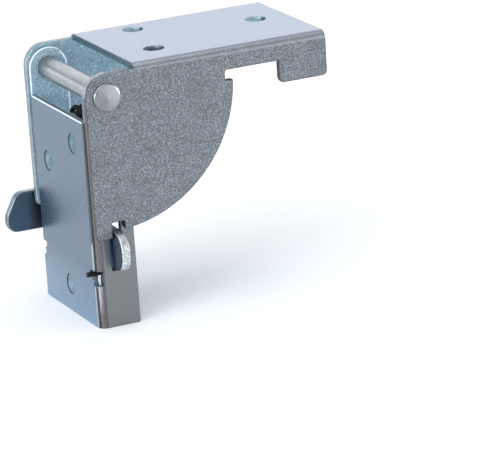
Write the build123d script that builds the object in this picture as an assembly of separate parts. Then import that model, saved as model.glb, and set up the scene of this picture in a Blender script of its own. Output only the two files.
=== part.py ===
from build123d import *
import math
import os

import numpy as np

# Folding table bracket: an upper pressing under the table top, a lower pressing on the
# table leg, a riveted pin between them, and a sprung latch that drops into a notch of the
# upper pressing's quadrants when the leg is open and again when it is folded away.
# Millimetres. X runs along the upper plate away from the hinge, Y along the hinge pin,
# Z up. The model is built about the pin's axis and then moved, so that the origin of the
# finished part is the middle of the plate's top face. The leg stands open, and the latch
# is shown pressed down, just clear of the quadrants.

# Sheet and bends
SHEET = 1.5
UPPER_BEND_IN = 0.5
LOWER_BEND_IN = 0.85
EDGE_R = 0.3

# Upper bracket: plate
UPPER_WIDTH = 38.0
PLATE_TOP = 6.6
PLATE_START = 7.3
PLATE_LENGTH = 48.3
PLATE_HOLE_D = 4.9
PLATE_HOLES = [(13.0, 11.9), (9.6, -8.2), (40.4, 2.0)]

# Upper bracket: cheeks, in X and Z from the pin's axis
CHEEK_BACK = 5.2
EAR_TOP = 5.6
EAR_R = 5.2
QUADRANT_R = 31.6
STOW_NOTCH_START = 29.7
STOW_NOTCH_LENGTH = 13.6
TAB_DROP = 4.0
TAB_R = 1.2
NOTCH_R = 0.5
TAIL_EXTRA = 1.8
TAIL_R = 1.2

# Lower bracket
SIDE_GAP = 0.25
LOWER_BOTTOM = 55.0
FOLD_GAP = 0.16
LOWER_EAR_R = 4.9
WEB_TOP_DROP = 5.9
LOWER_CORNER_R = 0.6
LEG_HOLE_D = 4.5
LEG_HOLES = [(-8.6, 12.3), (7.8, 20.1), (-0.4, 48.2)]
SLIT_HEIGHT = 1.5
SLIT_REACH = 3.9
SLIT_PAST_WEB = 0.15
RELIEF_WIDTH = 3.0
RELIEF_DROP = 2.3

# Hinge pin
PIN_R = 2.7
PIN_SEAT_GAP = 0.02
PIN_RUNNING_GAP = 0.06
PIN_HEAD_R = 3.35
PIN_HEAD_THICK = 0.9
PIN_HEAD_BEVEL = 0.4

# Latch
LATCH_THICK = 2.0
LATCH_HEIGHT = 9.6
LATCH_SET_BACK = 0.75
LATCH_CLEAR = 0.1
LATCH_TRAVEL = 1.7
NOTCH_BACK_GAP = 0.3
NOTCH_FRONT_GAP = 0.9
NOTCH_END_GAP = 0.4
STOW_TOP_GAP = 0.12
STOW_SHOULDER_GAP = 0.25
LATCH_BEND_IN = 1.0
TONGUE_REACH = 4.1
TONGUE_R = 4.3
LUG_GAP = 1.0
LUG_REACH = 12.1
LUG_RISE = 1.45
LUG_SLOPE_X = 2.9
LUG_SLOPE_Z = 5.5
LUG_R = 2.5
STEP_R = 0.6
SLOT_GAP = 0.35
SLOT_END_GAP = 0.3

# Latch spring and its post
WIRE_D = 1.2
COIL_R = 2.2
COIL_PITCH = 1.75
COIL_TOPS = 3
COIL_DROP = 8.6
COIL_MID_X = 1.7
POST_GAP = 0.3
POST_LIP = 0.4
SPRING_SEAT_GAP = 0.12
SPRING_WALL_GAP = 0.2
SPRING_STRAIGHT = 5.5
SPRING_FOOT_X = 4.3
SPRING_FOOT_R = 1.7
SPRING_KNEE = 4.0
SPRING_TIP_OUT = 1.5
SAME_DIRECTION = 1e-6

upper_half = UPPER_WIDTH / 2
plate_end = PLATE_START + PLATE_LENGTH
upper_bend_out = UPPER_BEND_IN + SHEET
bend_start = PLATE_TOP - upper_bend_out
lower_half = upper_half - SHEET - SIDE_GAP
lower_in = lower_half - SHEET
lower_bend_out = LOWER_BEND_IN + SHEET
web_in = SHEET - CHEEK_BACK
lower_front = PLATE_TOP - SHEET - FOLD_GAP

latch_top = -(QUADRANT_R + LATCH_CLEAR)
latch_bottom = latch_top - LATCH_HEIGHT
latch_back = -LATCH_SET_BACK
latch_front = latch_back + LATCH_THICK
stow_notch_top = latch_front + STOW_TOP_GAP
shoulder = latch_back - STOW_SHOULDER_GAP
open_notch_back = latch_back - NOTCH_BACK_GAP
open_notch_front = latch_front + NOTCH_FRONT_GAP
open_notch_top = latch_top + LATCH_TRAVEL + NOTCH_END_GAP
tail_bottom = -(QUADRANT_R + TAIL_EXTRA)

spring_y = lower_in - SPRING_WALL_GAP - WIRE_D / 2
spring_z = latch_bottom - SPRING_SEAT_GAP - WIRE_D / 2


def corner(sketch, x, y):
    """The sketch's corner nearest to a point."""
    return sketch.vertices().sort_by_distance((x, y, 0))[0]


def rounded(sketch, radius, *points):
    """The sketch with the corners at the given points rounded."""
    return fillet([corner(sketch, x, y) for x, y in points], radius)


def rectangle(x0, x1, y0, y1):
    """A rectangle between two pairs of limits."""
    return Pos((x0 + x1) / 2, (y0 + y1) / 2) * Rectangle(x1 - x0, y1 - y0)


def block(x, y, z):
    """A block between three pairs of limits."""
    size = [pair[1] - pair[0] for pair in (x, y, z)]
    middle = [(pair[0] + pair[1]) / 2 for pair in (x, y, z)]
    return Pos(*middle) * Box(*size)


def cheeks(outline, outer, thick):
    """A flat side outline in X and Z, as a front and a rear wall of a given thickness."""
    rear = extrude(Plane.XZ.offset(-outer) * outline, amount=thick)
    front = extrude(Plane.XZ.offset(outer - thick) * outline, amount=thick)
    return rear + front


def cheek_outline():
    """Side view of the upper bracket's cheek: ear, plate side, tab, notches and quadrant."""
    stow_end = STOW_NOTCH_START + STOW_NOTCH_LENGTH
    shoulder_x = math.sqrt(QUADRANT_R**2 - shoulder**2)
    arc_end_z = -math.sqrt(QUADRANT_R**2 - open_notch_front**2)
    middle = QUADRANT_R * math.sqrt(0.5)
    edge = Polyline(
        (open_notch_front, arc_end_z),
        (open_notch_front, open_notch_top),
        (open_notch_back, open_notch_top),
        (open_notch_back, tail_bottom),
        (-CHEEK_BACK, tail_bottom),
        (-CHEEK_BACK, EAR_TOP),
        (PLATE_START, EAR_TOP),
        (PLATE_START, bend_start),
        (plate_end, bend_start),
        (plate_end, -TAB_DROP),
        (stow_end, -TAB_DROP),
        (stow_end, stow_notch_top),
        (STOW_NOTCH_START, stow_notch_top),
        (STOW_NOTCH_START, shoulder),
        (shoulder_x, shoulder),
    )
    arc = ThreePointArc((shoulder_x, shoulder), (middle, -middle), (open_notch_front, arc_end_z))
    outline = make_face([edge, arc])
    outline = rounded(outline, EAR_R, (-CHEEK_BACK, EAR_TOP))
    outline = rounded(outline, TAIL_R, (-CHEEK_BACK, tail_bottom))
    outline = rounded(outline, TAB_R, (plate_end, -TAB_DROP), (stow_end, -TAB_DROP))
    outline = rounded(outline, NOTCH_R, (stow_end, stow_notch_top), (STOW_NOTCH_START, stow_notch_top))
    notch_corners = [
        (open_notch_front, arc_end_z),
        (open_notch_front, open_notch_top),
        (open_notch_back, open_notch_top),
        (open_notch_back, tail_bottom),
        (shoulder_x, shoulder),
    ]
    return rounded(outline, EDGE_R, *notch_corners)


def upper_bracket():
    """Plate with three screw holes, bent down along both sides into a cheek with an ear."""
    section = rectangle(-upper_half, upper_half, bend_start, PLATE_TOP)
    section = rounded(section, upper_bend_out, (-upper_half, PLATE_TOP), (upper_half, PLATE_TOP))
    inner = upper_half - SHEET
    hollow = rectangle(-inner, inner, bend_start, PLATE_TOP - SHEET)
    hollow = rounded(hollow, UPPER_BEND_IN, (-inner, PLATE_TOP - SHEET), (inner, PLATE_TOP - SHEET))
    plate = extrude(Plane.YZ.offset(PLATE_START) * (section - hollow), amount=PLATE_LENGTH)
    for x, y in PLATE_HOLES:
        plate -= Pos(PLATE_START + x, y, PLATE_TOP) * Cylinder(PLATE_HOLE_D / 2, 4 * SHEET)
    sides = cheeks(cheek_outline() - Circle(PIN_R + PIN_SEAT_GAP), upper_half, SHEET)
    return plate + sides


def lower_bracket():
    """Channel on the table leg, with two ears on the pin, latch slots and spring slits."""
    section = rectangle(-CHEEK_BACK, lower_front, -lower_half, lower_half)
    section = rounded(section, lower_bend_out, (-CHEEK_BACK, -lower_half), (-CHEEK_BACK, lower_half))
    hollow = rectangle(web_in, lower_front, -lower_in, lower_in)
    hollow = rounded(hollow, LOWER_BEND_IN, (web_in, -lower_in), (web_in, lower_in))
    height = LOWER_BOTTOM - WEB_TOP_DROP
    channel = extrude(Plane.XY.offset(-LOWER_BOTTOM) * (section - hollow), amount=height)
    ear = rectangle(-LOWER_EAR_R, lower_front, -WEB_TOP_DROP, 0) + Circle(LOWER_EAR_R)
    channel += cheeks(ear - Circle(PIN_R + PIN_RUNNING_GAP), lower_half, SHEET)
    foot = channel.edges().filter_by(Axis.Y).group_by(Axis.X)[-1].group_by(Axis.Z)[0]
    channel = fillet(foot, LOWER_CORNER_R)
    for y, drop in LEG_HOLES:
        hole = Cylinder(LEG_HOLE_D / 2, 4 * SHEET, rotation=(0, 90, 0))
        channel -= Pos(-CHEEK_BACK, y, -drop) * hole
    slot_x = (latch_back - SLOT_GAP, latch_front + SLOT_GAP)
    slot_z = (latch_bottom - SLOT_END_GAP, latch_top + LATCH_TRAVEL + SLOT_END_GAP)
    channel -= block(slot_x, (-upper_half, upper_half), slot_z)
    slit_z = (spring_z - SLIT_HEIGHT / 2, spring_z + SLIT_HEIGHT / 2)
    relief_x = (-CHEEK_BACK - SHEET, web_in + SLIT_PAST_WEB)
    wire_x = (relief_x[1], web_in + LOWER_BEND_IN)
    for side in (-1, 1):
        slit_end = side * (lower_half - SLIT_REACH)
        channel -= block(relief_x, sorted((slit_end, side * (lower_half + SHEET))), slit_z)
        channel -= block(wire_x, sorted((slit_end, side * lower_in)), slit_z)
        relief = rectangle(lower_half - RELIEF_WIDTH, lower_half + SHEET, slit_z[0] - RELIEF_DROP, slit_z[1])
        relief = rounded(relief, RELIEF_WIDTH / 2, (lower_half - RELIEF_WIDTH, slit_z[0] - RELIEF_DROP))
        cut = extrude(Plane.YZ.offset(relief_x[0]) * relief, amount=relief_x[1] - relief_x[0])
        channel -= cut if side > 0 else mirror(cut, Plane.XZ)
    return channel


def hinge_pin():
    """Rivet through all four ears, headed on both outer faces."""
    pin = Cylinder(PIN_R, UPPER_WIDTH, rotation=(90, 0, 0))
    head = Pos(0, 0, PIN_HEAD_THICK / 2) * Cylinder(PIN_HEAD_R, PIN_HEAD_THICK)
    head = chamfer(head.edges().sort_by(Axis.Z)[-1], PIN_HEAD_BEVEL)
    rear = Plane((0, upper_half, 0), z_dir=(0, 1, 0)) * head
    return pin + rear + mirror(rear, Plane.XZ)


def latch():
    """Flat bar through both walls: a round tongue in front, a raised, bent lug at the rear."""
    tongue_end = -(upper_half + TONGUE_REACH)
    lug_in = upper_half + LUG_GAP
    lug_out = lug_in + LATCH_THICK
    lug_top = latch_top + LUG_RISE
    lug_bottom = latch_bottom + LUG_RISE
    plan = rectangle(latch_back, latch_front, tongue_end, lug_out)
    plan += rectangle(-LUG_REACH, latch_front, lug_in, lug_out)
    plan = rounded(plan, LATCH_BEND_IN, (latch_back, lug_in))
    plan = rounded(plan, LATCH_BEND_IN + LATCH_THICK, (latch_front, lug_out))
    bar = extrude(Plane.XY.offset(latch_bottom) * plan, amount=lug_top - latch_bottom)
    end = Polyline(
        (latch_front, latch_bottom),
        (-LUG_REACH, latch_bottom),
        (-LUG_REACH, lug_top - LUG_SLOPE_Z),
        (LUG_SLOPE_X - LUG_REACH, lug_top),
        (latch_front, lug_top),
        close=True,
    )
    lug = make_face(end)
    lug -= rectangle(-LUG_REACH, latch_back - LATCH_BEND_IN, latch_bottom, lug_bottom)
    lug = rounded(lug, LUG_R, (-LUG_REACH, lug_bottom))
    lug = rounded(lug, LUG_R, (-LUG_REACH, lug_top - LUG_SLOPE_Z), (LUG_SLOPE_X - LUG_REACH, lug_top))
    lug = rounded(lug, STEP_R, (latch_back - LATCH_BEND_IN, lug_bottom))
    front = rectangle(tongue_end, lug_out, latch_bottom, latch_top)
    front = rounded(front, TONGUE_R, (tongue_end, latch_bottom), (tongue_end, latch_top))
    front += rectangle(upper_half + STEP_R, lug_out, latch_bottom, lug_top)
    front = rounded(front, STEP_R, (upper_half + STEP_R, latch_top))
    side_cut = extrude(Plane.XZ * lug, amount=UPPER_WIDTH, both=True)
    front_cut = extrude(Plane.YZ * front, amount=2 * LUG_REACH, both=True)
    return bar & side_cut & front_cut


def biarc(start, start_dir, end, end_dir):
    """Two tangent arcs from one point and direction to another."""
    chord = end - start
    both = start_dir + end_dir
    a = 2 * (start_dir.dot(end_dir) - 1)
    b = -2 * chord.dot(both)
    c = chord.dot(chord)
    reach = (-b - math.sqrt(b * b - 4 * a * c)) / (2 * a)
    meet_a = start + start_dir * reach
    meet_b = end - end_dir * reach
    middle = (meet_a + meet_b) * 0.5
    first = Edge.make_tangent_arc(start, start_dir, middle)
    second = Edge.make_tangent_arc(middle, meet_b - meet_a, end)
    return [first, second]


def joined(knots):
    """Lines, arcs and pairs of arcs through a row of points, each with its direction."""
    edges = []
    for (start, start_dir), (end, end_dir) in zip(knots, knots[1:]):
        chord = (end - start).normalized()
        twist = abs(chord.dot(start_dir.cross(end_dir)))
        lean = abs(chord.dot(start_dir - end_dir))
        if (chord - start_dir).length < SAME_DIRECTION:
            edges.append(Edge.make_line(start, end))
        elif max(twist, lean) < SAME_DIRECTION:
            edges.append(Edge.make_tangent_arc(start, start_dir, end))
        else:
            edges += biarc(start, start_dir, end, end_dir)
    return edges


def bent(before, at, after, setback):
    """The two ends of the bend at a point of a route."""
    into = (at - before).normalized()
    out = (after - at).normalized()
    return [(at - into * setback, into), (at + out * setback, out)]


def spring_knots():
    """The spring's route: rear foot, rear leg, coil about the post, front leg, front foot."""
    splay = math.asin(spring_y / math.hypot(spring_y, COIL_DROP + spring_z))
    reach = math.hypot(spring_y, COIL_DROP + spring_z)
    splay -= math.asin(COIL_R / reach)
    turned = math.pi * (2 * COIL_TOPS - 1) - 2 * splay
    advance = COIL_PITCH * turned / (2 * math.pi)
    x_start = COIL_MID_X - advance / 2

    def coil(angle):
        x = x_start + COIL_PITCH * (angle - splay) / (2 * math.pi)
        point = Vector(x, COIL_R * math.cos(angle), COIL_R * math.sin(angle) - COIL_DROP)
        rise = COIL_PITCH / (2 * math.pi)
        return point, Vector(rise, -COIL_R * math.sin(angle), COIL_R * math.cos(angle)).normalized()

    rear_top = coil(splay)[0]
    front_top = coil(splay + turned)[0]
    rear_foot = Vector(SPRING_FOOT_X, spring_y, spring_z)
    front_foot = Vector(SPRING_FOOT_X, -spring_y, spring_z)
    tip_x = -CHEEK_BACK - SPRING_TIP_OUT
    down = Vector(0, math.sin(splay), -math.cos(splay))
    rear_knee = rear_top + down * SPRING_STRAIGHT
    rear_tip = Vector(tip_x, spring_y, spring_z)
    front_tip = Vector(tip_x, -spring_y, spring_z)
    knots = [(rear_tip, Vector(1, 0, 0))]
    knots += bent(rear_tip, rear_foot, rear_knee, SPRING_FOOT_R)
    knots += bent(rear_foot, rear_knee, rear_top, SPRING_KNEE)
    knots.append((rear_top, -down))
    angle = math.pi / 2
    while angle < splay + turned - 0.01:
        knots.append(coil(angle))
        angle += math.pi
    front_dir = (front_foot - front_top).normalized()
    knots.append((front_top, front_dir))
    knots += bent(front_top, front_foot, front_tip, SPRING_FOOT_R)
    knots.append((front_tip, Vector(-1, 0, 0)))
    return knots


def latch_spring():
    """Torsion spring of round wire, swept along its route."""
    knots = spring_knots()
    path = Wire(joined(knots))
    start, direction = knots[0]
    section = Plane(start, z_dir=direction) * Circle(WIRE_D / 2)
    spring = sweep(section, path=path)
    steps = np.linspace(0, 1, 1500)
    points = np.array([tuple(path.position_at(step)) for step in steps])
    spacing = path.length / (len(steps) - 1)
    skip = int(3 * WIRE_D / spacing)
    gap = min(np.linalg.norm(points[skip + i:] - points[i], axis=1).min() for i in range(len(points) - skip))
    print(f"latch spring: least gap to itself {gap - WIRE_D:.2f} mm, length {path.length:.1f} mm")
    print(f"latch spring: volume {spring.volume:.2f}, section times length "
          f"{math.pi * WIRE_D**2 / 4 * path.length:.2f}")
    return spring


def spring_post():
    """Stud on the web's inner face, inside the spring's coil."""
    radius = COIL_R - WIRE_D / 2 - POST_GAP
    turns = COIL_TOPS - 0.5
    tip = COIL_MID_X + COIL_PITCH * turns / 2 + WIRE_D / 2 + POST_LIP
    post = Plane((web_in, 0, -COIL_DROP), z_dir=(1, 0, 0)) * Cylinder(
        radius, tip - web_in, align=(Align.CENTER, Align.CENTER, Align.MIN))
    return chamfer(post.edges().sort_by(Axis.X)[-1], EDGE_R)


pieces = {
    "upper_bracket": upper_bracket(),
    "lower_bracket": lower_bracket(),
    "hinge_pin": hinge_pin(),
    "latch": latch(),
    "latch_spring": latch_spring(),
    "spring_post": spring_post(),
}

os.makedirs("parts", exist_ok=True)
to_frame = Pos(-(PLATE_START + PLATE_LENGTH / 2), 0, -PLATE_TOP)
for name, shape in pieces.items():
    placed = to_frame * shape
    placed.label = name
    export_step(placed, f"parts/{name}.step")
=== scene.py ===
import math

import bmesh
import bpy
from mathutils import Matrix, Vector


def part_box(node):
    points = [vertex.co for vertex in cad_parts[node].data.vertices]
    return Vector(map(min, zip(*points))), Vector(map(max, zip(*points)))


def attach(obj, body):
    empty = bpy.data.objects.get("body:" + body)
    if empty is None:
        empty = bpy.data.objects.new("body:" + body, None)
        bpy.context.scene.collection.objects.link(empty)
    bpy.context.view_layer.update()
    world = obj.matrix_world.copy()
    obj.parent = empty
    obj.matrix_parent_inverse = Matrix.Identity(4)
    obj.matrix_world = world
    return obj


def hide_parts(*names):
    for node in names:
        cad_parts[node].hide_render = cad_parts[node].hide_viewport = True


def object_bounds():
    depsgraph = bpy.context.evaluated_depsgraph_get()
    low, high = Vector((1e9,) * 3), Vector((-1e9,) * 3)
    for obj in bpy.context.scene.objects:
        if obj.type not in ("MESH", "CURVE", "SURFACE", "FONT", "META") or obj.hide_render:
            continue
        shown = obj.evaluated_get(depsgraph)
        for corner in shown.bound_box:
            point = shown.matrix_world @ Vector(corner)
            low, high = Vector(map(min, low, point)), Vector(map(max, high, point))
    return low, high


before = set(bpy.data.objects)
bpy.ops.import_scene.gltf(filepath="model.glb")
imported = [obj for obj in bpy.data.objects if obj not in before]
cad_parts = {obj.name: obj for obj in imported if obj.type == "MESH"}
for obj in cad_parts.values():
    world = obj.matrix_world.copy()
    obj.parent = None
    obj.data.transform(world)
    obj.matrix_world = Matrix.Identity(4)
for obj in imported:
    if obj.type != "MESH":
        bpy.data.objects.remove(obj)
CAD_BOX = [list(corner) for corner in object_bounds()]

bl_info = {
    "name": "Folding Table Bracket",
    "version": (1, 0, 0),
    "blender": (4, 5, 0),
    "location": "View3D > Sidebar > Bracket",
    "description": "Dresses a folding table leg bracket in zinc-plated steel and sets its studio",
    "category": "Object",
}

MM = 0.001

# How nearly a normal lies along an axis for its face to count as flat that way
FLAT = 0.98

# The plating: how many grains a cloud spans, what grains and clouds add to the tone, and how far
# the grains change the gloss
CLOUD_GRAINS = 20
GRAIN_SHARE, CLOUD_SHARE = 0.7, 0.3
GLOSS_SWING = 0.06

# Its crystals: how much darker most are, how much brighter the rare ones, and their two hues
CRYSTAL_DARK, CRYSTAL_BRIGHT = 0.45, 1.6
WARM_HUE, COOL_HUE = (1.03, 1.0, 0.96), (0.97, 1.0, 1.04)

WORLD_LIGHT = 0.5
WORLD_COLOUR = (0.93, 0.96, 1.0)
LIGHT_TARGET = (0.0, 0.0, -0.03)

# Softboxes: name, place, width and height, power and colour
SOFTBOXES = [
    ("rear_softbox", (0.55, 1.25, 0.50), (2.4, 1.0), 10.5, (0.91, 0.96, 1.0)),
    ("top_softbox", (0.0, 0.0, 1.2), (1.2, 1.2), 5.0, (1.0, 1.0, 1.0)),
    ("left_softbox", (-1.1, 0.5, 0.35), (0.7, 0.7), 1.5, (0.8, 0.9, 1.0)),
    ("left_strip", (-0.9, -0.10, 0.20), (0.12, 0.7), 1.5, (1.0, 1.0, 1.0)),
    ("front_fill", (0.45, -1.1, 0.32), (1.6, 0.8), 3.0, (1.0, 0.99, 0.97)),
    ("key_light", (-0.6, -0.6, 0.9), (0.8, 0.8), 4.0, (0.96, 0.98, 1.0)),
    ("left_front", (-0.9, -0.5, 0.15), (0.4, 0.3), 5.0, (0.9, 0.96, 1.0)),
    ("low_left", (-0.35, 0.45, 0.04), (0.4, 0.12), 0.3, (0.9, 0.96, 1.0)),
    ("right_fill", (1.2, -0.35, 0.15), (0.6, 0.5), 4.0, (0.9, 0.97, 1.0)),
    ("low_right", (0.9, -0.25, -0.01), (0.3, 0.08), 1.5, (0.95, 0.98, 1.0)),
]

# The camera's right, up and backward directions
CAMERA_AXES = (
    (0.9030970, -0.4245605, -0.0645301),
    (0.1795760, 0.2368592, 0.9548037),
    (-0.3900874, -0.8738685, 0.2901477),
)


# Sizes and colours


class BracketSteel(bpy.types.PropertyGroup):
    """Edges, plating and painted light of the pressed pieces"""

    sheet_edge: bpy.props.FloatProperty(
        name="Sheet edge radius",
        description="How far the upper pressing's punched edges are rolled over",
        default=0.22 * MM,
        unit="LENGTH",
    )
    channel_edge: bpy.props.FloatProperty(
        name="Channel edge radius",
        description="How far the leg channel's punched edges are rolled over",
        default=0.25 * MM,
        unit="LENGTH",
    )
    rim_edge: bpy.props.FloatProperty(
        name="Ear rim radius",
        description="How far the inner rims of the channel's ears are rolled over",
        default=0.6 * MM,
        unit="LENGTH",
    )
    latch_edge: bpy.props.FloatProperty(
        name="Latch edge radius",
        description="How far the edges of the tumbled latch bar are worn round",
        default=0.28 * MM,
        unit="LENGTH",
    )
    sharp_angle: bpy.props.FloatProperty(
        name="Sharp edge angle",
        description="Edges that turn by more than this are rolled over",
        default=math.radians(35),
        subtype="ANGLE",
    )
    face_colour: bpy.props.FloatVectorProperty(
        name="Cheek zinc",
        description="Grainy zinc plate on the outer cheeks",
        subtype="COLOR",
        size=3,
        default=(0.196, 0.218, 0.241),
    )
    # Painted light: the plate's top is painted lighter and bluer than the cheeks of the same sheet
    plate_lit_colour: bpy.props.FloatVectorProperty(
        name="Plate zinc",
        description="Even zinc plate on the flat plate",
        subtype="COLOR",
        size=3,
        default=(0.275, 0.30, 0.355),
    )
    # Painted light: inner faces are painted lighter and bluer than the outer zinc, for the bluish
    # light they catch
    inner_lit_colour: bpy.props.FloatVectorProperty(
        name="Inner zinc",
        description="Bluer zinc plate on the inner faces of the cheeks",
        subtype="COLOR",
        size=3,
        default=(0.33, 0.465, 0.545),
    )
    # Painted reflection: the web's bluish tint stands for bluish light it reflects from the left;
    # the walls stay grey
    web_reflection_colour: bpy.props.FloatVectorProperty(
        name="Web zinc",
        description="Smooth, bluish zinc plate on the leg channel's web",
        subtype="COLOR",
        size=3,
        default=(0.145, 0.205, 0.275),
    )
    wall_colour: bpy.props.FloatVectorProperty(
        name="Wall zinc",
        description="Smooth grey zinc plate on the leg channel's walls",
        subtype="COLOR",
        size=3,
        default=(0.21, 0.218, 0.228),
    )
    cut_colour: bpy.props.FloatVectorProperty(
        name="Cut edge",
        description="Thin, dull plating on the front cheek's punched edges",
        subtype="COLOR",
        size=3,
        default=(0.11, 0.105, 0.11),
    )
    pale_colour: bpy.props.FloatVectorProperty(
        name="Pale edge",
        description="Bright plating on the other punched edges and in the holes",
        subtype="COLOR",
        size=3,
        default=(0.19, 0.225, 0.25),
    )
    end_colour: bpy.props.FloatVectorProperty(
        name="Plate end",
        description="Deep blue plating on the plate's sheared end",
        subtype="COLOR",
        size=3,
        default=(0.10, 0.175, 0.215),
    )
    # Painted reflection: the brown on the channel's upright bends stands for what they reflect
    bend_reflection_colour: bpy.props.FloatVectorProperty(
        name="Bend painted reflection",
        description="Brownish plating on the channel's upright bends",
        subtype="COLOR",
        size=3,
        default=(0.15, 0.14, 0.15),
    )
    grain: bpy.props.FloatProperty(
        name="Grain size",
        description="Size of the plating's grains",
        default=0.17 * MM,
        unit="LENGTH",
    )


class BracketSmallParts(bpy.types.PropertyGroup):
    """Rivet, stud, latch and spring"""

    head_dome: bpy.props.FloatProperty(
        name="Head dome",
        description="Height of the low dome on each rivet head",
        default=0.25 * MM,
        unit="LENGTH",
    )
    head_round: bpy.props.FloatProperty(
        name="Head rim radius",
        description="Rounding of the rivet head's rim",
        default=0.5 * MM,
        unit="LENGTH",
    )
    # Painted sheen: the rivet heads are painted lighter on one side and darker on the other
    head_painted_sheen: bpy.props.FloatProperty(
        name="Head sheen",
        description="How much the turned rivet heads darken on one side",
        default=0.3,
    )
    rivet_colour: bpy.props.FloatVectorProperty(
        name="Rivet",
        description="Bright plated rivet steel",
        subtype="COLOR",
        size=3,
        default=(0.34, 0.355, 0.37),
    )
    latch_colour: bpy.props.FloatVectorProperty(
        name="Latch",
        description="Blue zinc plate on the tumbled latch",
        subtype="COLOR",
        size=3,
        default=(0.13, 0.19, 0.26),
    )
    worn_colour: bpy.props.FloatVectorProperty(
        name="Worn rim",
        description="Bright, rough rim of the latch",
        subtype="COLOR",
        size=3,
        default=(0.50, 0.53, 0.55),
    )
    spring_colour: bpy.props.FloatVectorProperty(
        name="Spring wire",
        description="Oil-blackened spring wire",
        subtype="COLOR",
        size=3,
        default=(0.012, 0.011, 0.012),
    )


class BracketStage(bpy.types.PropertyGroup):
    """Floor, lights and camera"""

    floor_colour: bpy.props.FloatVectorProperty(
        name="Floor",
        description="Pale studio floor",
        subtype="COLOR",
        size=3,
        default=(0.92, 0.925, 0.93),
    )
    floor_half: bpy.props.FloatProperty(
        name="Floor half width",
        description="Half the side of the square floor",
        default=3.0,
        unit="LENGTH",
    )
    lens: bpy.props.FloatProperty(
        name="Lens",
        description="Focal length of the camera, for a 36 mm sensor",
        default=252.2455,
        unit="CAMERA",
    )
    camera_place: bpy.props.FloatVectorProperty(
        name="Camera place",
        description="Where the camera stands",
        subtype="TRANSLATION",
        size=3,
        default=(-0.31639365, -0.73182849, 0.19290152),
    )


# Node helpers


def material(name):
    """A new node material, its nodes, its links and its principled shader."""
    made = bpy.data.materials.new(name)
    made.use_nodes = True
    nodes = made.node_tree.nodes
    return made, nodes, made.node_tree.links, nodes["Principled BSDF"]


def own_place(nodes):
    """Where a point lies on its own piece."""
    return nodes.new("ShaderNodeTexCoord").outputs["Object"]


def feed(links, socket, value):
    """Gives a socket another node's output, a number or a colour."""
    if isinstance(value, bpy.types.NodeSocket):
        links.new(value, socket)
    elif isinstance(value, (int, float)):
        socket.default_value = value
    else:
        socket.default_value = (*value, 1.0)


def computed(nodes, links, operation, *values):
    """The result of a math node."""
    step = nodes.new("ShaderNodeMath")
    step.operation = operation
    for socket, value in zip(step.inputs, values):
        feed(links, socket, value)
    return step.outputs["Value"]


def noise(nodes, links, size, detail=2.0, stretch=(1.0, 1.0, 1.0)):
    """Noise on the piece's own coordinates, its grains about size metres across."""
    turn = nodes.new("ShaderNodeMapping")
    turn.inputs["Scale"].default_value = stretch
    links.new(own_place(nodes), turn.inputs["Vector"])
    grain = nodes.new("ShaderNodeTexNoise")
    grain.inputs["Scale"].default_value = 1.0 / size
    grain.inputs["Detail"].default_value = detail
    links.new(turn.outputs["Vector"], grain.inputs["Vector"])
    return grain.outputs["Fac"]


def spread(nodes, links, factor, low, high, start=0.3, end=0.7):
    """Maps a factor between start and end to values between low and high."""
    ranged = nodes.new("ShaderNodeMapRange")
    ranged.inputs["From Min"].default_value = start
    ranged.inputs["From Max"].default_value = end
    ranged.inputs["To Min"].default_value = low
    ranged.inputs["To Max"].default_value = high
    links.new(factor, ranged.inputs["Value"])
    return ranged.outputs["Result"]


def blended(nodes, links, factor, first, second, blend="MIX"):
    """Two colours blended by a factor."""
    mix = nodes.new("ShaderNodeMix")
    mix.data_type = "RGBA"
    mix.blend_type = blend
    feed(links, mix.inputs["Factor"], factor)
    feed(links, mix.inputs["A"], first)
    feed(links, mix.inputs["B"], second)
    return mix.outputs["Result"]


def scaled(nodes, links, tint, amount):
    """A colour made lighter or darker by another node's output."""
    scale = nodes.new("ShaderNodeVectorMath")
    scale.operation = "SCALE"
    links.new(tint, scale.inputs["Vector"])
    links.new(amount, scale.inputs["Scale"])
    return scale.outputs["Vector"]


def shaded(colour, amount):
    """A plain colour made lighter or darker."""
    return tuple(channel * amount for channel in colour)


def crystalled(nodes, links, tint, grain, amount):
    """Breaks a colour into crystals: most a little dark, a few bright, in two faint hues."""
    cells = nodes.new("ShaderNodeTexVoronoi")
    cells.inputs["Scale"].default_value = 1.0 / grain
    links.new(own_place(nodes), cells.inputs["Vector"])
    apart = nodes.new("ShaderNodeSeparateColor")
    links.new(cells.outputs["Color"], apart.inputs["Color"])
    rare = spread(nodes, links, apart.outputs["Red"], 0.0, 1.0, 0.5, 1.0)
    dim, bright = 1 - CRYSTAL_DARK * amount, 1 + CRYSTAL_BRIGHT * amount
    lit = blended(nodes, links, rare, (dim,) * 3, (bright,) * 3)
    hue = blended(nodes, links, apart.outputs["Green"], WARM_HUE, COOL_HUE)
    shone = blended(nodes, links, 1.0, tint, lit, "MULTIPLY")
    return blended(nodes, links, 1.0, shone, hue, "MULTIPLY")


def ringed(nodes, links, tint, middle, start, end, colour):
    """Turns a colour into another close around an axis along Y, within the radii start to end."""
    flat = nodes.new("ShaderNodeMapping")
    flat.inputs["Scale"].default_value = (1.0, 0.0, 1.0)
    links.new(own_place(nodes), flat.inputs["Vector"])
    far = nodes.new("ShaderNodeVectorMath")
    far.operation = "DISTANCE"
    links.new(flat.outputs["Vector"], far.inputs[0])
    far.inputs[1].default_value = (middle.x, 0.0, middle.z)
    clear = spread(nodes, links, far.outputs["Value"], 0.0, 1.0, start, end)
    return blended(nodes, links, clear, colour, tint)


def faded(nodes, links, tint, low, high, foot, head):
    """Scales a colour from foot, at and below the height low, to head, at and above high."""
    apart = nodes.new("ShaderNodeSeparateXYZ")
    links.new(own_place(nodes), apart.inputs["Vector"])
    amount = spread(nodes, links, apart.outputs["Z"], foot, head, low, high)
    return scaled(nodes, links, tint, amount)


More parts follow.
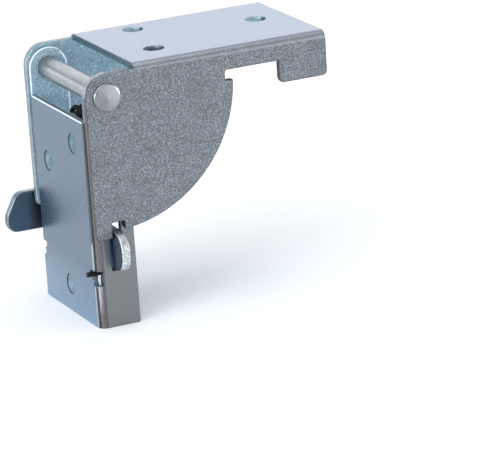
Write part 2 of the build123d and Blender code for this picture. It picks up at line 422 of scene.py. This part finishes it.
def one_sided(nodes, links, tint, middle, amount):
    """Paints a sheen: lightens a colour to the upper right of an axis along Y, darkens it
    opposite.
    """
    centred = nodes.new("ShaderNodeVectorMath")
    centred.operation = "SUBTRACT"
    links.new(own_place(nodes), centred.inputs[0])
    centred.inputs[1].default_value = middle
    apart = nodes.new("ShaderNodeSeparateXYZ")
    links.new(centred.outputs["Vector"], apart.inputs["Vector"])
    angle = computed(nodes, links, "ARCTAN2", apart.outputs["Z"], apart.outputs["X"])
    brightest = 0.5
    wave = computed(nodes, links, "COSINE", computed(nodes, links, "SUBTRACT", angle, brightest))
    lift = spread(nodes, links, wave, 1 - amount, 1 + 0.7 * amount, -1.0, 1.0)
    return scaled(nodes, links, tint, lift)


def plated(name, colour, grain, depth, rough, contrast,
           metal=1.0, crystals=0.0, ring=None, fade=None, sheen=None):
    """Zinc plate: grains in colour, gloss and height over broader clouds.

    It can have crystals, painted shade about a pin, a fade from foot to head and a painted sheen.
    """
    made, nodes, links, shader = material(name)
    shader.inputs["Metallic"].default_value = metal
    fine = noise(nodes, links, grain, 3.0)
    clouds = noise(nodes, links, CLOUD_GRAINS * grain, 2.0)
    fine_tone = spread(nodes, links, fine, 0.0, GRAIN_SHARE)
    cloud_tone = spread(nodes, links, clouds, 0.0, CLOUD_SHARE)
    tone = computed(nodes, links, "ADD", fine_tone, cloud_tone)
    tint = blended(nodes, links, tone, shaded(colour, 1 - contrast), shaded(colour, 1 + contrast))
    if crystals:
        tint = crystalled(nodes, links, tint, grain, crystals)
    if ring:
        tint = ringed(nodes, links, tint, *ring)
    if fade:
        tint = faded(nodes, links, tint, *fade)
    if sheen:
        tint = one_sided(nodes, links, tint, *sheen)
    links.new(tint, shader.inputs["Base Color"])
    gloss = spread(nodes, links, fine, rough + GLOSS_SWING, rough - GLOSS_SWING)
    links.new(gloss, shader.inputs["Roughness"])
    bump = nodes.new("ShaderNodeBump")
    bump.inputs["Strength"].default_value = 1.0
    bump.inputs["Distance"].default_value = depth
    links.new(fine, bump.inputs["Height"])
    links.new(bump.outputs["Normal"], shader.inputs["Normal"])
    return made


def wire_finish(name, colour):
    """Dark drawn wire: long fine streaks and a dull oily gloss."""
    made, nodes, links, shader = material(name)
    shader.inputs["Metallic"].default_value = 0.7
    streaks = noise(nodes, links, 0.5 * MM, 3.0, (1.0, 1.0, 0.2))
    tint = blended(nodes, links, streaks, shaded(colour, 0.6), shaded(colour, 1.6))
    links.new(tint, shader.inputs["Base Color"])
    links.new(spread(nodes, links, streaks, 0.35, 0.55), shader.inputs["Roughness"])
    return made


# Mesh helpers


def copied_node(node):
    """The node's mesh, merged and freed of its flat faces' inner edges."""
    mesh = bmesh.new()
    mesh.from_mesh(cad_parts[node].data)
    bmesh.ops.remove_doubles(mesh, verts=mesh.verts, dist=0.001 * MM)
    bmesh.ops.dissolve_limit(
        mesh,
        angle_limit=math.radians(0.5),
        verts=mesh.verts,
        edges=mesh.edges,
        use_dissolve_boundaries=False,
    )
    return mesh


def outward_part(face, middle):
    """How far a face's normal points away from the bracket's middle plane."""
    return face.normal.y if middle.y > 0 else -face.normal.y


def sharp_edges(mesh, angle):
    """Every edge that turns by more than the angle, its middle and its faces' flat ways."""
    for edge in mesh.edges:
        if edge.is_manifold and edge.calc_face_angle() > angle:
            flat = [
                any(abs(face.normal[axis]) > FLAT for face in edge.link_faces) for axis in range(3)
            ]
            yield edge, (edge.verts[0].co + edge.verts[1].co) / 2, flat


def rolled_edges(mesh, edges, radius):
    """Rounds the edges and returns the new faces.

    The overlap limit stays off: the small corners' short facets would bring it near zero.
    """
    made = bmesh.ops.bevel(
        mesh,
        geom=edges,
        offset=radius,
        offset_type="OFFSET",
        affect="EDGES",
        segments=3,
        profile=0.5,
        material=-1,
        clamp_overlap=False,
        loop_slide=False,
    )
    return made["faces"]


def finished(mesh, name, materials, body, node, angle=30):
    """Turns a bmesh into a piece that replaces a node, rides its body and takes its slot."""
    data = bpy.data.meshes.new(name)
    mesh.to_mesh(data)
    mesh.free()
    piece = bpy.data.objects.new(name, data)
    bpy.context.scene.collection.objects.link(piece)
    for each in materials:
        data.materials.append(each)
    for face in data.polygons:
        face.use_smooth = True
    data.set_sharp_from_angle(angle=math.radians(angle))
    weighted = piece.modifiers.new("flat_faces_rule", "WEIGHTED_NORMAL")
    weighted.keep_sharp = True
    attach(piece, body)
    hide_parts(node)
    return piece


def turned(profile, start, axis, steps=64):
    """A solid of revolution: a profile of (along, radius) points about an axis through start."""
    mesh = bmesh.new()
    along = Vector(axis).normalized()
    side = along.orthogonal().normalized()
    verts = [mesh.verts.new(Vector(start) + along * a + side * r) for a, r in profile]
    edges = [mesh.edges.new(pair) for pair in zip(verts, verts[1:])]
    bmesh.ops.spin(
        mesh,
        geom=verts + edges,
        cent=start,
        axis=along,
        angle=math.tau,
        steps=steps,
        use_merge=True,
        use_normal_flip=False,
    )
    bmesh.ops.remove_doubles(mesh, verts=mesh.verts, dist=0.002 * MM)
    bmesh.ops.recalc_face_normals(mesh, faces=mesh.faces)
    return mesh


def arc_points(middle, radius, start, end, count):
    """Points of a quarter or other part of a circle in the (along, radius) plane."""
    angles = [start + (end - start) * step / count for step in range(count + 1)]
    return [(middle[0] + radius * math.cos(a), middle[1] + radius * math.sin(a)) for a in angles]


# Pieces


class BRACKET_OT_upper_pressing(bpy.types.Operator):
    """Upper pressing with rolled edges, grainy zinc faces and browner cut edges"""

    bl_idname = "bracket.upper_pressing"
    bl_label = "Upper Pressing"

    def execute(self, context):
        steel = context.scene.bracket_steel
        low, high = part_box("upper_bracket")
        mesh = copied_node("upper_bracket")
        front_cheek = low.y + 2.0 * MM
        plate_skin = high.z - 1.0 * MM
        under_plate = high.z - 2.0 * MM
        ear_foot = high.z - 11.0 * MM
        ear_end = low.x + 5.5 * MM
        cheek, plate, inner, cut, pale, bend, end, bright = range(8)
        for face in mesh.faces:
            middle = face.calc_center_median()
            outward = outward_part(face, middle)
            near_plate = middle.z > under_plate
            if middle.y >= front_cheek:
                face.material_index = pale
            # Painted highlight: the near ear's punched edge is painted pale
            elif middle.z > ear_foot and middle.x < ear_end:
                face.material_index = bright
            else:
                face.material_index = cut
            if outward > FLAT:
                face.material_index = cheek
            elif outward < -0.5 or (face.normal.z < -0.5 and near_plate and outward > -FLAT):
                face.material_index = inner
            elif face.normal.z > 0.87 and middle.z > plate_skin:
                face.material_index = plate
            # Painted light: the bend from the plate down to the cheek takes a lighter copy of the
            # cheek zinc
            elif outward > 0.1 and face.normal.z > 0.1 and abs(face.normal.x) < 0.05:
                face.material_index = bend
            elif face.normal.x < -0.9 and near_plate:
                face.material_index = end

        # The rounds at the plate's two long bends stay as they are
        plate_half = high.y - 2.0 * MM
        rolled = []
        for edge, middle, flat in sharp_edges(mesh, steel.sharp_angle):
            on_cheek = flat[1] and middle.z < under_plate
            on_plate = flat[2] and middle.z > under_plate and abs(middle.y) < plate_half
            if on_cheek or on_plate:
                rolled.append(edge)
        for face in rolled_edges(mesh, rolled, steel.sheet_edge):
            middle = face.calc_center_median()
            if middle.y < low.y + 1.0 * MM and middle.z < under_plate:
                face.material_index = cut

        fine, coarse = steel.grain, 2 * steel.grain
        # A lighter copy of the cheek zinc, painted light on the bend
        lit_bend_zinc = shaded(steel.face_colour, 1.5)
        # A paler copy of the edge zinc, a painted highlight on the near ear's edge
        ear_highlight_zinc = shaded(steel.pale_colour, 1.3)
        finishes = [
            plated("zinc_cheek", steel.face_colour, fine, depth=0.02 * MM,
                   rough=0.42, contrast=0.22, crystals=0.55),
            # Painted light: a lighter, bluer zinc on the plate's top
            plated("zinc_plate", steel.plate_lit_colour, coarse, depth=0.001 * MM,
                   rough=0.36, contrast=0.02),
            # Painted light: lighter, bluer zinc on the inner faces
            plated("zinc_inner", steel.inner_lit_colour, coarse, depth=0.02 * MM,
                   rough=0.45, contrast=0.28, metal=0.4, crystals=0.2),
            plated("zinc_cut_edge", steel.cut_colour, fine, depth=0.01 * MM,
                   rough=0.40, contrast=0.30, crystals=0.4),
            plated("zinc_pale_edge", steel.pale_colour, fine, depth=0.01 * MM,
                   rough=0.35, contrast=0.15, metal=0.6, crystals=0.2),
            plated("zinc_bend_painted_light", lit_bend_zinc, coarse, depth=0.004 * MM,
                   rough=0.36, contrast=0.10, crystals=0.12),
            plated("zinc_end_edge", steel.end_colour, fine, depth=0.01 * MM,
                   rough=0.40, contrast=0.2, metal=0.8, crystals=0.2),
            plated("zinc_ear_highlight", ear_highlight_zinc, fine, depth=0.01 * MM,
                   rough=0.40, contrast=0.2, metal=0.5, crystals=0.2),
        ]
        finished(mesh, "upper_pressing", finishes, "table_side", "upper_bracket")
        return {"FINISHED"}


class BRACKET_OT_leg_channel(bpy.types.Operator):
    """Leg channel with rolled edges, smooth zinc and painted reflections, highlights and shade"""

    bl_idname = "bracket.leg_channel"
    bl_label = "Leg Channel"

    def execute(self, context):
        steel = context.scene.bracket_steel
        low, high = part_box("lower_bracket")
        pin_low, pin_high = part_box("hinge_pin")
        pin_middle = (pin_low + pin_high) / 2
        mesh = copied_node("lower_bracket")
        web_top = high.z - 13.2 * MM
        web_foot = low.z + 3.0 * MM
        holes_half = high.y - 4.5 * MM
        web, wall, inner, pale, wear_and_highlight, dark, brown_reflection, dim_reflection, rim = range(9)
        # Painted reflections on the upright bends: bright, dark, brown and dim bands by turn
        bend_reflections = ((22, wear_and_highlight), (40, dark), (74, brown_reflection), (85, dim_reflection))
        for face in mesh.faces:
            middle = face.calc_center_median()
            outward = outward_part(face, middle)
            turn = math.degrees(math.atan2(outward, -face.normal.x))
            upright = abs(face.normal.z) < 0.05
            face.material_index = pale
            if face.normal.x < -FLAT:
                face.material_index = web
            elif outward > FLAT:
                face.material_index = wall
            elif outward < -0.5 or (face.normal.x > 0.5 and middle.x < low.x + 3.0 * MM):
                face.material_index = inner
            elif upright and 5 < turn < 85 and middle.x < low.x + 2.5 * MM:
                face.material_index = next(tone for end, tone in bend_reflections if turn < end)
            in_web = middle.x < low.x + 1.5 * MM and abs(middle.y) < holes_half
            if in_web and abs(face.normal.x) < 0.3 and web_foot < middle.z < web_top:
                face.material_index = inner

        wall_inside = high.y - 1.5 * MM
        ear_rims = [
            edge
            for edge, middle, flat in sharp_edges(mesh, steel.sharp_angle)
            if flat[1]
            and middle.x > pin_middle.x + 3.4 * MM
            and abs(abs(middle.y) - wall_inside) < 0.05 * MM
        ]
        # Painted highlight: the ear rims take the pale rim zinc
        for face in rolled_edges(mesh, ear_rims, steel.rim_edge):
            face.material_index = rim

        # Edges beside the two bends and their slits stay sharp
        rolled = []
        for edge, middle, flat in sharp_edges(mesh, steel.sharp_angle):
            near_slit = low.z + 11.4 * MM < middle.z < low.z + 14.6 * MM
            past_bend = middle.x > low.x + (4.5 if near_slit else 2.6) * MM
            on_wall = flat[1] and (past_bend or middle.z > high.z - 7.95 * MM)
            web_half = high.y - (4.45 if near_slit else 1.95) * MM
            on_web = flat[0] and middle.x < low.x + 2.65 * MM and abs(middle.y) < web_half
            if on_wall or on_web:
                rolled.append(edge)
        for face in rolled_edges(mesh, rolled, steel.channel_edge):
            middle = face.calc_center_median()
            in_skin = middle.x < low.x + 1.0 * MM and abs(middle.y) < holes_half
            # The web's top edge takes the same painted highlight
            if middle.z > web_top:
                face.material_index = rim
            # Painted shade: the rolled edges of the web's holes and slits are painted dark
            elif in_skin and middle.z > web_foot:
                face.material_index = dark

        fine, coarse = steel.grain, 2 * steel.grain
        # A paler copy of the edge zinc, the painted highlight line on the bends beside the web
        bend_highlight_zinc = shaded(steel.pale_colour, 2.2)
        # A far paler copy of the edge zinc, a painted highlight on the ear rims and web top edge
        rim_highlight_zinc = shaded(steel.pale_colour, 3.6)
        # Painted dark reflection on the bends and painted shade at the web's hole edges
        dark_reflection_and_shade_zinc = shaded(steel.bend_reflection_colour, 0.4)
        # A darker copy of the wall zinc, a painted dim reflection on the bends
        dim_reflection_zinc = shaded(steel.wall_colour, 0.6)
        # Radii and colour of the painted shade in the gap about the pin; heights and factors of
        # the fades
        pin_gap_shade = (pin_middle, 2.95 * MM, 3.25 * MM, (0.01, 0.04, 0.05))
        # Painted reflection: the web grows lighter towards its foot, for the bright floor it
        # reflects
        floor_reflection_fade = (low.z, low.z + 14.0 * MM, 1.8, 0.92)
        # The bends' painted highlight dims above this band of height
        bend_highlight_fade = (low.z + 19.5 * MM, low.z + 21.0 * MM, 1.0, 0.3)
        finishes = [
            plated("zinc_web", steel.web_reflection_colour, coarse, depth=0.0005 * MM,
                   rough=0.29, contrast=0.02, fade=floor_reflection_fade),
            plated("zinc_wall", steel.wall_colour, coarse, depth=0.002 * MM,
                   rough=0.34, contrast=0.04),
            # Painted light: lighter, bluer zinc on the inner faces and in the web's holes
            plated("channel_inner", steel.inner_lit_colour, coarse, depth=0.02 * MM,
                   rough=0.45, contrast=0.28, metal=0.4, crystals=0.2, ring=pin_gap_shade),
            plated("channel_pale_edge", steel.pale_colour, fine, depth=0.01 * MM,
                   rough=0.35, contrast=0.15, metal=0.6, crystals=0.2),
            plated("channel_bend_highlight", bend_highlight_zinc, fine, depth=0.004 * MM,
                   rough=0.32, contrast=0.10, fade=bend_highlight_fade),
            plated("channel_dark_reflection_and_shade", dark_reflection_and_shade_zinc, fine, depth=0.01 * MM,
                   rough=0.36, contrast=0.25),
            plated("channel_bend_brown_reflection", steel.bend_reflection_colour, fine, depth=0.01 * MM,
                   rough=0.36, contrast=0.25, crystals=0.2),
            plated("channel_bend_dim_reflection", dim_reflection_zinc, fine, depth=0.01 * MM,
                   rough=0.36, contrast=0.2),
            plated("channel_rim_highlight", rim_highlight_zinc, fine, depth=0.004 * MM,
                   rough=0.32, contrast=0.08, metal=0.2),
        ]
        finished(mesh, "leg_channel", finishes, "leg_side", "lower_bracket")
        return {"FINISHED"}


class BRACKET_OT_rivet(bpy.types.Operator):
    """Hinge rivet with low domed heads, and the spring's stud"""

    bl_idname = "bracket.rivet"
    bl_label = "Rivet and Stud"

    def execute(self, context):
        small = context.scene.bracket_small_parts
        low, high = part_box("hinge_pin")
        middle = (low + high) / 2
        colour, smear = small.rivet_colour, 1.2 * MM
        bright = plated("rivet_bright", colour, smear, depth=0.001 * MM, rough=0.30, contrast=0.05)
        # The heads carry the painted sheen
        sheen_zinc = plated("rivet_painted_sheen", colour, smear, depth=0.001 * MM,
                             rough=0.30, contrast=0.05, sheen=(middle, small.head_painted_sheen))
        shank_zinc = plated("rivet_shank", shaded(colour, 0.93), smear, depth=0.001 * MM,
                            rough=0.34, contrast=0.06)

        half = (high.y - low.y) / 2
        head_radius = (high.x - low.x) / 2
        shank_radius = 2.7 * MM
        under_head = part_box("upper_bracket")[1].y
        rounding = (half - small.head_dome - small.head_round, head_radius - small.head_round)
        dome_slope = 0.35
        rim = arc_points(rounding, small.head_round, math.pi / 2, dome_slope, 5)
        along, radius = rim[-1]
        dome = [
            (along + (half - along) * math.sin(turn), radius * math.cos(turn))
            for turn in (step * math.pi / 2 for step in (0.2, 0.4, 0.6, 0.8))
        ]
        head = [(under_head, shank_radius), (under_head, head_radius), *rim, *dome, (half, 0.0)]
        profile = [(-a, r) for a, r in reversed(head)] + head
        mesh = turned(profile, middle, (0, 1, 0))
        for face in mesh.faces:
            face.material_index = int(abs(face.calc_center_median().y) < under_head)
        rivet_finishes = [sheen_zinc, shank_zinc]
        finished(mesh, "hinge_rivet", rivet_finishes, "table_side", "hinge_pin")

        low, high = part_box("spring_post")
        centre = (low + high) / 2
        radius = (high.z - low.z) / 2
        length = high.x - low.x
        nose_round = 0.4 * MM
        nose_middle = (length - nose_round, radius - nose_round)
        nose = arc_points(nose_middle, nose_round, math.pi / 2, 0.0, 4)
        profile = [(0.0, 0.0), (0.0, radius), *nose, (length, 0.0)]
        mesh = turned(profile, Vector((low.x, centre.y, centre.z)), (1, 0, 0), 40)
        finished(mesh, "spring_stud", [bright], "leg_side", "spring_post")
        return {"FINISHED"}


class BRACKET_OT_thumb_latch(bpy.types.Operator):
    """Latch bar with worn edges"""

    bl_idname = "bracket.thumb_latch"
    bl_label = "Thumb Latch"

    def execute(self, context):
        steel = context.scene.bracket_steel
        small = context.scene.bracket_small_parts
        low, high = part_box("latch")
        mesh = copied_node("latch")
        blue, wear_and_highlight, lug = range(3)
        for face in mesh.faces:
            front = face.calc_center_median().y < 0
            face.material_index = wear_and_highlight if front and abs(face.normal.x) < 0.3 else blue

        # Edges at the lug's inner bend stay sharp
        lug_outside = low.x + 9.55 * MM
        lug_inside = high.y - 3.1 * MM
        rolled = [
            edge
            for edge, middle, flat in sharp_edges(mesh, steel.sharp_angle)
            if middle.x < lug_outside or middle.y < lug_inside
        ]
        for face in rolled_edges(mesh, rolled, steel.latch_edge):
            face.material_index = wear_and_highlight if face.calc_center_median().y < 0 else lug
        finishes = [
            plated("latch_zinc", small.latch_colour, 0.8 * MM, depth=0.006 * MM,
                   rough=0.34, contrast=0.15),
            plated("latch_rim", small.worn_colour, 0.35 * MM, depth=0.02 * MM,
                   rough=0.42, contrast=0.3, crystals=0.3),
            plated("latch_lug_rim", shaded(small.worn_colour, 0.5), 0.35 * MM, depth=0.01 * MM,
                   rough=0.36, contrast=0.15),
        ]
        finished(mesh, "thumb_latch", finishes, "latch", "latch")
        return {"FINISHED"}


class BRACKET_OT_spring(bpy.types.Operator):
    """Latch spring of dark wire"""

    bl_idname = "bracket.spring"
    bl_label = "Latch Spring"

    def execute(self, context):
        small = context.scene.bracket_small_parts
        mesh = copied_node("latch_spring")

        # No wire shows at the rear slit, so the rear leg ends inside it
        rear_start, slit_mouth = 10 * MM, -35.6 * MM
        rear = [face for face in mesh.faces if face.calc_center_median().y > rear_start]
        edges = {edge for face in rear for edge in face.edges}
        verts = {vert for face in rear for vert in face.verts}
        cut = bmesh.ops.bisect_plane(
            mesh,
            geom=[*verts, *edges, *rear],
            plane_co=(slit_mouth, 0.0, 0.0),
            plane_no=(-1.0, 0.0, 0.0),
            clear_outer=True,
        )
        rim = [each for each in cut["geom_cut"] if isinstance(each, bmesh.types.BMEdge)]
        bmesh.ops.contextual_create(mesh, geom=rim)
        dark = wire_finish("spring_wire_dark", small.spring_colour)
        finished(mesh, "coil_spring", [dark], "leg_side", "latch_spring", 60)
        return {"FINISHED"}


class BRACKET_OT_stage(bpy.types.Operator):
    """Pale floor, soft lights and the camera"""

    bl_idname = "bracket.stage"
    bl_label = "Stage"

    def soft_light(self, name, place, size, power, colour):
        lamp = bpy.data.lights.new(name, "AREA")
        lamp.shape = "RECTANGLE"
        lamp.size, lamp.size_y = size
        lamp.energy = power
        lamp.color = colour
        aim = Vector(LIGHT_TARGET) - Vector(place)
        holder = bpy.data.objects.new(name, lamp)
        holder.location = place
        holder.rotation_euler = aim.to_track_quat("-Z", "Y").to_euler()
        bpy.context.scene.collection.objects.link(holder)

    def floor(self, scene, stage):
        mesh = bmesh.new()
        bmesh.ops.create_grid(mesh, x_segments=1, y_segments=1, size=stage.floor_half)
        bmesh.ops.translate(mesh, verts=mesh.verts, vec=(0, 0, CAD_BOX[0][2]))
        data = bpy.data.meshes.new("floor")
        mesh.to_mesh(data)
        mesh.free()
        floor = bpy.data.objects.new("floor", data)
        scene.collection.objects.link(floor)
        made, nodes, links, shader = material("floor_paper")
        pale = noise(nodes, links, 0.6, 2.0)
        tones = blended(nodes, links, pale, stage.floor_colour, shaded(stage.floor_colour, 1.02))
        links.new(tones, shader.inputs["Base Color"])
        shader.inputs["Roughness"].default_value = 0.9
        shader.inputs["Specular IOR Level"].default_value = 0.1
        data.materials.append(made)

    def camera(self, scene, stage):
        lens = bpy.data.cameras.new("camera")
        lens.lens = stage.lens
        lens.sensor_width = 36.0
        lens.sensor_fit = "HORIZONTAL"
        lens.clip_start, lens.clip_end = 0.01, 20.0
        camera = bpy.data.objects.new("camera", lens)
        turn = Matrix(CAMERA_AXES).transposed().to_4x4()
        camera.matrix_world = Matrix.Translation(stage.camera_place) @ turn
        scene.collection.objects.link(camera)
        scene.camera = camera

    def execute(self, context):
        scene = context.scene
        self.floor(scene, scene.bracket_stage)
        world = bpy.data.worlds.new("studio")
        world.use_nodes = True
        background = world.node_tree.nodes["Background"]
        background.inputs["Color"].default_value = (*WORLD_COLOUR, 1.0)
        background.inputs["Strength"].default_value = WORLD_LIGHT
        scene.world = world
        for softbox in SOFTBOXES:
            self.soft_light(*softbox)
        self.camera(scene, scene.bracket_stage)
        scene.view_settings.view_transform = "Standard"
        return {"FINISHED"}


class BRACKET_PT_panel(bpy.types.Panel):
    """Lists the bracket's pieces and their sizes"""

    bl_idname = "BRACKET_PT_panel"
    bl_label = "Folding Bracket"
    bl_space_type = "VIEW_3D"
    bl_region_type = "UI"
    bl_category = "Bracket"

    def draw(self, context):
        layout = self.layout
        for operator in OPERATORS:
            layout.operator(operator.bl_idname)
        scene = context.scene
        for group in (scene.bracket_steel, scene.bracket_small_parts, scene.bracket_stage):
            column = layout.column()
            for key in group.__annotations__:
                column.prop(group, key)


OPERATORS = [
    BRACKET_OT_upper_pressing,
    BRACKET_OT_leg_channel,
    BRACKET_OT_rivet,
    BRACKET_OT_thumb_latch,
    BRACKET_OT_spring,
    BRACKET_OT_stage,
]
CLASSES = [BracketSteel, BracketSmallParts, BracketStage, *OPERATORS, BRACKET_PT_panel]


def register():
    for each in CLASSES:
        bpy.utils.register_class(each)
    bpy.types.Scene.bracket_steel = bpy.props.PointerProperty(type=BracketSteel)
    bpy.types.Scene.bracket_small_parts = bpy.props.PointerProperty(type=BracketSmallParts)
    bpy.types.Scene.bracket_stage = bpy.props.PointerProperty(type=BracketStage)


def unregister():
    del bpy.types.Scene.bracket_stage
    del bpy.types.Scene.bracket_small_parts
    del bpy.types.Scene.bracket_steel
    for each in reversed(CLASSES):
        bpy.utils.unregister_class(each)


def main():
    register()
    bpy.ops.bracket.upper_pressing()
    bpy.ops.bracket.leg_channel()
    bpy.ops.bracket.rivet()
    bpy.ops.bracket.thumb_latch()
    bpy.ops.bracket.spring()
    bpy.ops.bracket.stage()


if __name__ == "__main__":
    main()
